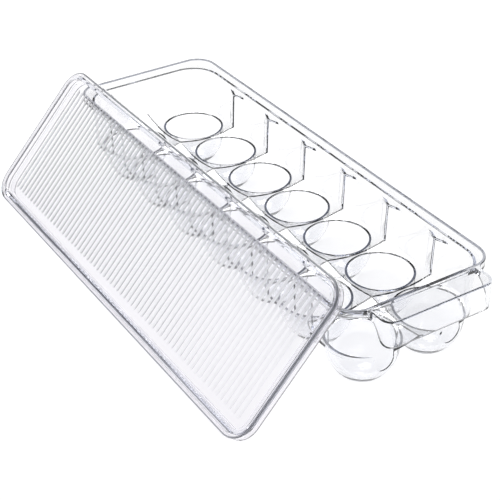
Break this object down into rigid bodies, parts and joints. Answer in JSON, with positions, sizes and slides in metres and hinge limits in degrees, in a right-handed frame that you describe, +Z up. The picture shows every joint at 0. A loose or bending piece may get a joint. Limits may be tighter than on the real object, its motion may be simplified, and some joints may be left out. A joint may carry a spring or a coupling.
{
  "type": "egg keeper",
  "caption": "Clear moulded egg tray with rows of egg-shaped cups, a rim pocket for its lid and a pull handle at one end; the loose ribbed lid leans on one long side.",
  "frame": {"origin": "under the middle of the set's own box (tray with the lid leaning on it), on the surface it stands on", "axes": "+X along the tray towards the pull handle, +Y across it from the leaning lid to the far wall, +Z up"},
  "size_m": [0.3676, 0.1842, 0.0867],
  "materials": {
    "clear_tray": "polished, crystal-clear styrene",
    "clear_lid": "polished, crystal-clear styrene with a ribbed panel"
  },
  "bodies": {
    "tray": {"tray": "clear_tray"},
    "lid": {"lid": "clear_lid"}
  },
  "joints": [
    {"name": "lid_lift", "type": "slide", "parent": "tray", "child": "lid", "axis": [0, 0, 1], "range_m": [0, 0.12]}
  ]
}
